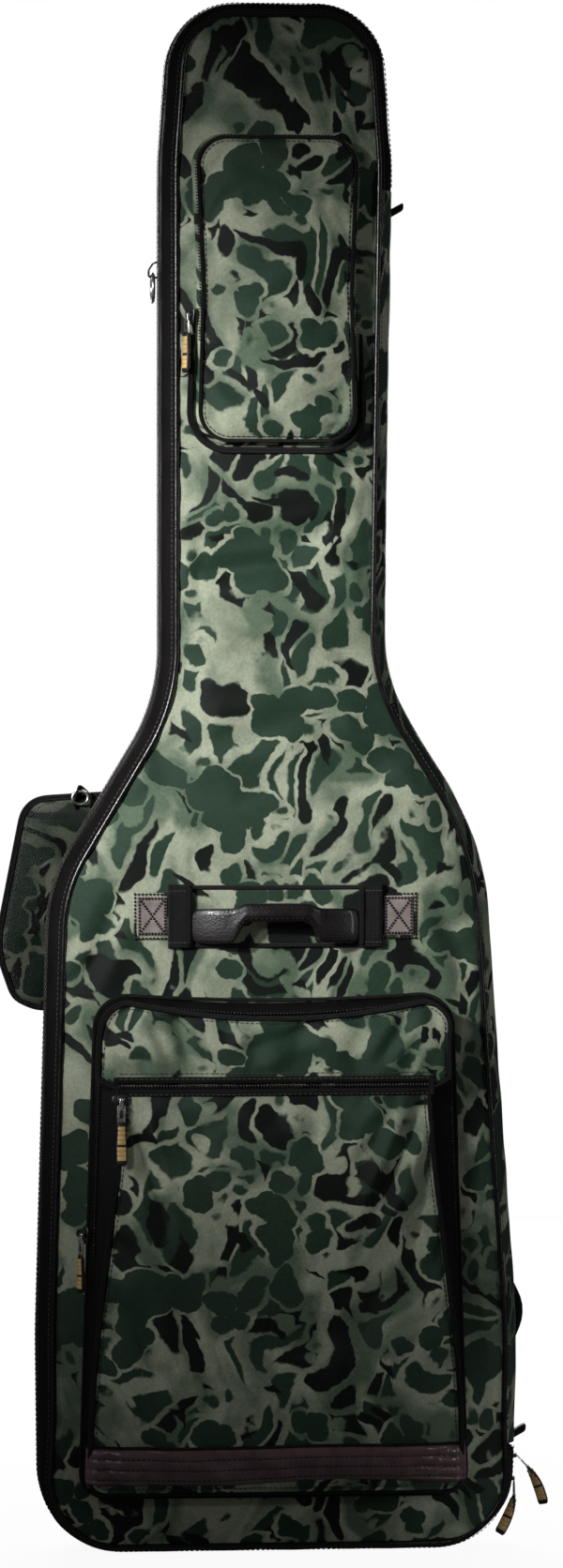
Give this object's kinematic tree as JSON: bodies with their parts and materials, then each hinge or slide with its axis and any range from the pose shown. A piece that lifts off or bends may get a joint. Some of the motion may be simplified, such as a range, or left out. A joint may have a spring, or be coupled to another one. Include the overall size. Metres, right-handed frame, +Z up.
{
  "type": "padded gig bag",
  "caption": "Tall padded camouflage gig bag for a bass guitar: zipped lid, large front pocket, head pocket, carry handle and backpack straps.",
  "frame": {"origin": "middle of the base, on the zip seam's plane", "axes": "+Z up towards the head, -Y out of the front panel, +X towards the hinge side"},
  "size_m": [0.4442, 0.1376, 1.221],
  "materials": {
    "camo_cloth": "coarse woven camouflage cloth",
    "black_cloth": "black woven nylon",
    "zip_tape": "black zip tape with nylon coil",
    "foam": "closed-cell foam sheet",
    "lining": "short plush lining",
    "piping": "satin piping cord",
    "webbing": "ribbed black webbing",
    "taupe_webbing": "pale webbing with box stitching",
    "leatherette": "ribbed dark leatherette",
    "buckle_plastic": "black acetal",
    "slider_metal": "black enamelled slider",
    "puller_metal": "bright nickel",
    "tab_rubber": "black rubber with a gold stripe"
  },
  "bodies": {
    "shell": {"back_panel": "camo_cloth", "back_padding": "foam", "back_lining": "lining", "back_gusset": "camo_cloth", "hinge_gusset": "camo_cloth", "back_side_padding": "foam", "back_piping": "piping", "main_zip_back": "zip_tape", "zip_end_tabs": "black_cloth", "neck_rest": "foam", "neck_strap": "webbing", "bottom_bumper": "foam", "hang_loop": "webbing", "side_ring_tab": "webbing", "strap_anchors": "webbing"},
    "lid": {"front_panel": "camo_cloth", "front_padding": "foam", "front_lining": "lining", "front_gusset": "black_cloth", "front_side_padding": "foam", "front_piping": "piping", "main_zip_front": "zip_tape", "handle_patch": "camo_cloth", "handle_x_patches": "taupe_webbing", "handle_tabs": "webbing", "pocket_gusset": "black_cloth", "pocket_lower": "camo_cloth", "pocket_zip": "zip_tape", "pocket_base_band": "leatherette", "head_gusset": "black_cloth", "head_lower": "camo_cloth", "head_zip": "zip_tape", "head_binding": "black_cloth"},
    "handle": {"handle_grip": "webbing"},
    "pocket_front": {"pocket_flap": "camo_cloth", "pocket_binding": "black_cloth", "flat_zip": "zip_tape"},
    "head_front": {"head_flap": "camo_cloth"},
    "flat_run": {"flat_slider": "slider_metal"},
    "flat_pull": {"flat_puller": "puller_metal", "flat_tab": "tab_rubber"},
    "pocket_run": {"pocket_slider": "slider_metal"},
    "pocket_pull": {"pocket_puller": "puller_metal", "pocket_tab": "tab_rubber"},
    "head_run": {"head_slider": "slider_metal"},
    "head_pull": {"head_puller": "puller_metal", "head_tab": "tab_rubber"},
    "main_run_a": {"main_slider_a": "slider_metal"},
    "main_pull_a": {"main_puller_a": "puller_metal", "main_tab_a": "tab_rubber"},
    "main_run_b": {"main_slider_b": "slider_metal"},
    "main_pull_b": {"main_puller_b": "puller_metal", "main_tab_b": "tab_rubber"},
    "strap_left": {"strap_pad_left": "camo_cloth", "strap_web_left": "webbing"},
    "adjuster_left": {"strap_buckle_left": "buckle_plastic"},
    "strap_right": {"strap_pad_right": "camo_cloth", "strap_web_right": "webbing"},
    "adjuster_right": {"strap_buckle_right": "buckle_plastic"},
    "ring": {"side_ring": "puller_metal"}
  },
  "joints": [
    {"name": "lid_open", "type": "hinge", "parent": "shell", "child": "lid", "pos_m": [0.1944, 0, 0.081], "axis": [-0.0982, 0, 0.9952], "range_deg": [0, 95]},
    {"name": "handle_swing", "type": "hinge", "parent": "lid", "child": "handle", "pos_m": [-0.003, -0.045, 0.503], "axis": [1, 0, 0], "range_deg": [-50, 50], "stiffness_Nm_per_rad": 0.12},
    {"name": "pocket_front_fold", "type": "hinge", "parent": "lid", "child": "pocket_front", "pos_m": [0, -0.072, 0.24], "axis": [1, 0, 0], "range_deg": [0, 70]},
    {"name": "head_front_fold", "type": "hinge", "parent": "lid", "child": "head_front", "pos_m": [0, -0.054, 0.955], "axis": [1, 0, 0], "range_deg": [0, 60]},
    {"name": "flat_zip_run", "type": "slide", "parent": "pocket_front", "child": "flat_run", "axis": [1, 0, 0], "range_m": [0, 0.236]},
    {"name": "flat_pull_swing", "type": "hinge", "parent": "flat_run", "child": "flat_pull", "pos_m": [-0.126, -0.0772, 0.361], "axis": [1, 0, 0], "range_deg": [-120, 0]},
    {"name": "pocket_zip_run", "type": "slide", "parent": "lid", "child": "pocket_run", "axis": [0.0305, 0, 0.9995], "range_m": [0, 0.15]},
    {"name": "pocket_pull_swing", "type": "hinge", "parent": "pocket_run", "child": "pocket_pull", "pos_m": [-0.1552, -0.0584, 0.254], "axis": [0.5, -0.866, 0], "range_deg": [-120, 0]},
    {"name": "head_zip_run", "type": "slide", "parent": "lid", "child": "head_run", "axis": [-0.0409, 0, 0.9992], "range_m": [0, 0.1]},
    {"name": "head_pull_swing", "type": "hinge", "parent": "head_run", "child": "head_pull", "pos_m": [-0.0714, -0.0494, 0.973], "axis": [0.5, -0.866, 0], "range_deg": [-120, 0]},
    {"name": "main_zip_run_a", "type": "hinge", "parent": "shell", "child": "main_run_a", "pos_m": [0.12388, 0, 0.065], "axis": [0, 1, 0], "range_deg": [0, 75], "stiffness_Nm_per_rad": 0.5},
    {"name": "main_pull_a_swing", "type": "hinge", "parent": "main_run_a", "child": "main_pull_a", "pos_m": [0.19089, 0.0015, 0.05076], "axis": [0, 1, 0], "range_deg": [-45, 0]},
    {"name": "main_zip_run_b", "type": "slide", "parent": "shell", "child": "main_run_b", "axis": [0.0294, 0, 0.9996], "range_m": [0, 0.005]},
    {"name": "main_pull_b_swing", "type": "hinge", "parent": "main_run_b", "child": "main_pull_b", "pos_m": [0.19268, 0.0015, 0.069], "axis": [0, 1, 0], "range_deg": [-90, 0]},
    {"name": "strap_left_swing", "type": "hinge", "parent": "shell", "child": "strap_left", "pos_m": [-0.018, 0.047, 0.6], "axis": [-0.2509, 0, -0.968], "range_deg": [0, 90], "stiffness_Nm_per_rad": 0.3},
    {"name": "adjuster_left_slide", "type": "slide", "parent": "strap_left", "child": "adjuster_left", "axis": [-0.024, 0, 0.9997], "range_m": [0, 0.085]},
    {"name": "strap_right_swing", "type": "hinge", "parent": "shell", "child": "strap_right", "pos_m": [0.018, 0.047, 0.6], "axis": [-0.2509, 0, 0.968], "range_deg": [0, 90], "stiffness_Nm_per_rad": 0.3},
    {"name": "adjuster_right_slide", "type": "slide", "parent": "strap_right", "child": "adjuster_right", "axis": [-0.0836, 0, 0.9965], "range_m": [0, 0.085]},
    {"name": "ring_swing", "type": "hinge", "parent": "shell", "child": "ring", "pos_m": [-0.0955, 0.014, 1.01], "axis": [0, 1, 0], "range_deg": [0, 120]}
  ]
}
